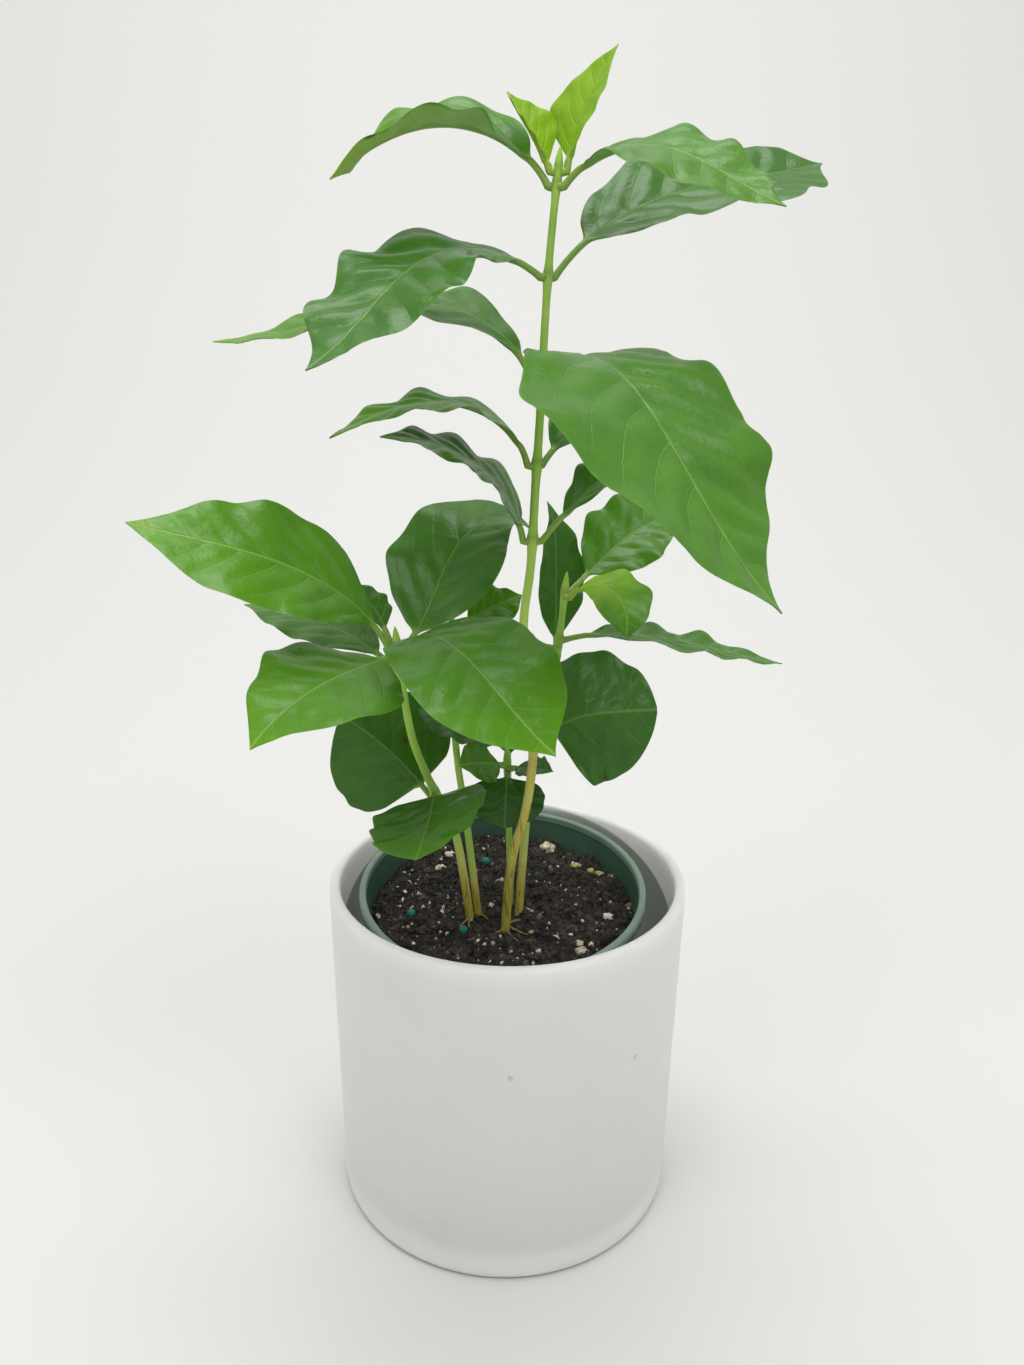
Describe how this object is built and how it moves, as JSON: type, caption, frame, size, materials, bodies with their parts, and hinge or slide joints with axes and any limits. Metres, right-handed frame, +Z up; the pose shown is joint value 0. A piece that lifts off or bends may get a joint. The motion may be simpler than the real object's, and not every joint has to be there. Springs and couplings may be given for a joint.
{
  "type": "potted coffee plant",
  "caption": "Young coffee plant: glossy wavy leaves in opposite pairs on thin stems, in a dark plastic grow pot inside a round white ceramic cover pot.",
  "frame": {"origin": "middle of the cover pot's flat underside, which is the resting plane", "axes": "+Z up along the cover pot's axis, -Y towards the viewer's side, +X to the viewer's right"},
  "size_m": [0.2176, 0.1846, 0.4039],
  "materials": {
    "white_glaze": "satin white glaze on opaque ceramic",
    "green_plastic": "dark green moulded plastic, low sheen",
    "potting_mix": "dark crumbly potting mix with white perlite and a few green beads",
    "green_bark": "yellow-green stem, brown towards the soil",
    "coffee_leaf": "glossy deep green leaf with sunken veins"
  },
  "bodies": {
    "root": {"ceramic_cover_pot": "white_glaze", "leaf_left_back": "coffee_leaf", "leaf_left_front_left": "coffee_leaf", "leaf_left_front_right": "coffee_leaf", "leaf_left_long": "coffee_leaf", "leaf_left_low": "coffee_leaf", "leaf_left_seed_back": "coffee_leaf", "leaf_left_seed_front": "coffee_leaf", "leaf_left_small": "coffee_leaf", "leaf_main_1_left": "coffee_leaf", "leaf_main_1_right": "coffee_leaf", "leaf_main_2_left": "coffee_leaf", "leaf_main_2_right": "coffee_leaf", "leaf_main_3_left": "coffee_leaf", "leaf_main_3_right": "coffee_leaf", "leaf_main_4_left": "coffee_leaf", "leaf_main_4_right": "coffee_leaf", "leaf_main_5_left": "coffee_leaf", "leaf_main_5_right": "coffee_leaf", "leaf_main_seed_left": "coffee_leaf", "leaf_main_seed_right": "coffee_leaf", "leaf_right_back": "coffee_leaf", "leaf_right_hook": "coffee_leaf", "leaf_right_long": "coffee_leaf", "leaf_right_low": "coffee_leaf", "leaf_right_tall": "coffee_leaf", "leaf_short_back": "coffee_leaf", "leaf_short_left": "coffee_leaf", "leaf_short_right": "coffee_leaf", "leaf_short_seed": "coffee_leaf", "leaf_thin_right": "coffee_leaf", "leaf_top_left": "coffee_leaf", "leaf_top_right": "coffee_leaf", "nursery_pot": "green_plastic", "potting_soil": "potting_mix", "stem_left": "green_bark", "stem_main": "green_bark", "stem_right": "green_bark", "stem_short": "green_bark", "stem_thin": "green_bark"}
  },
  "joints": []
}
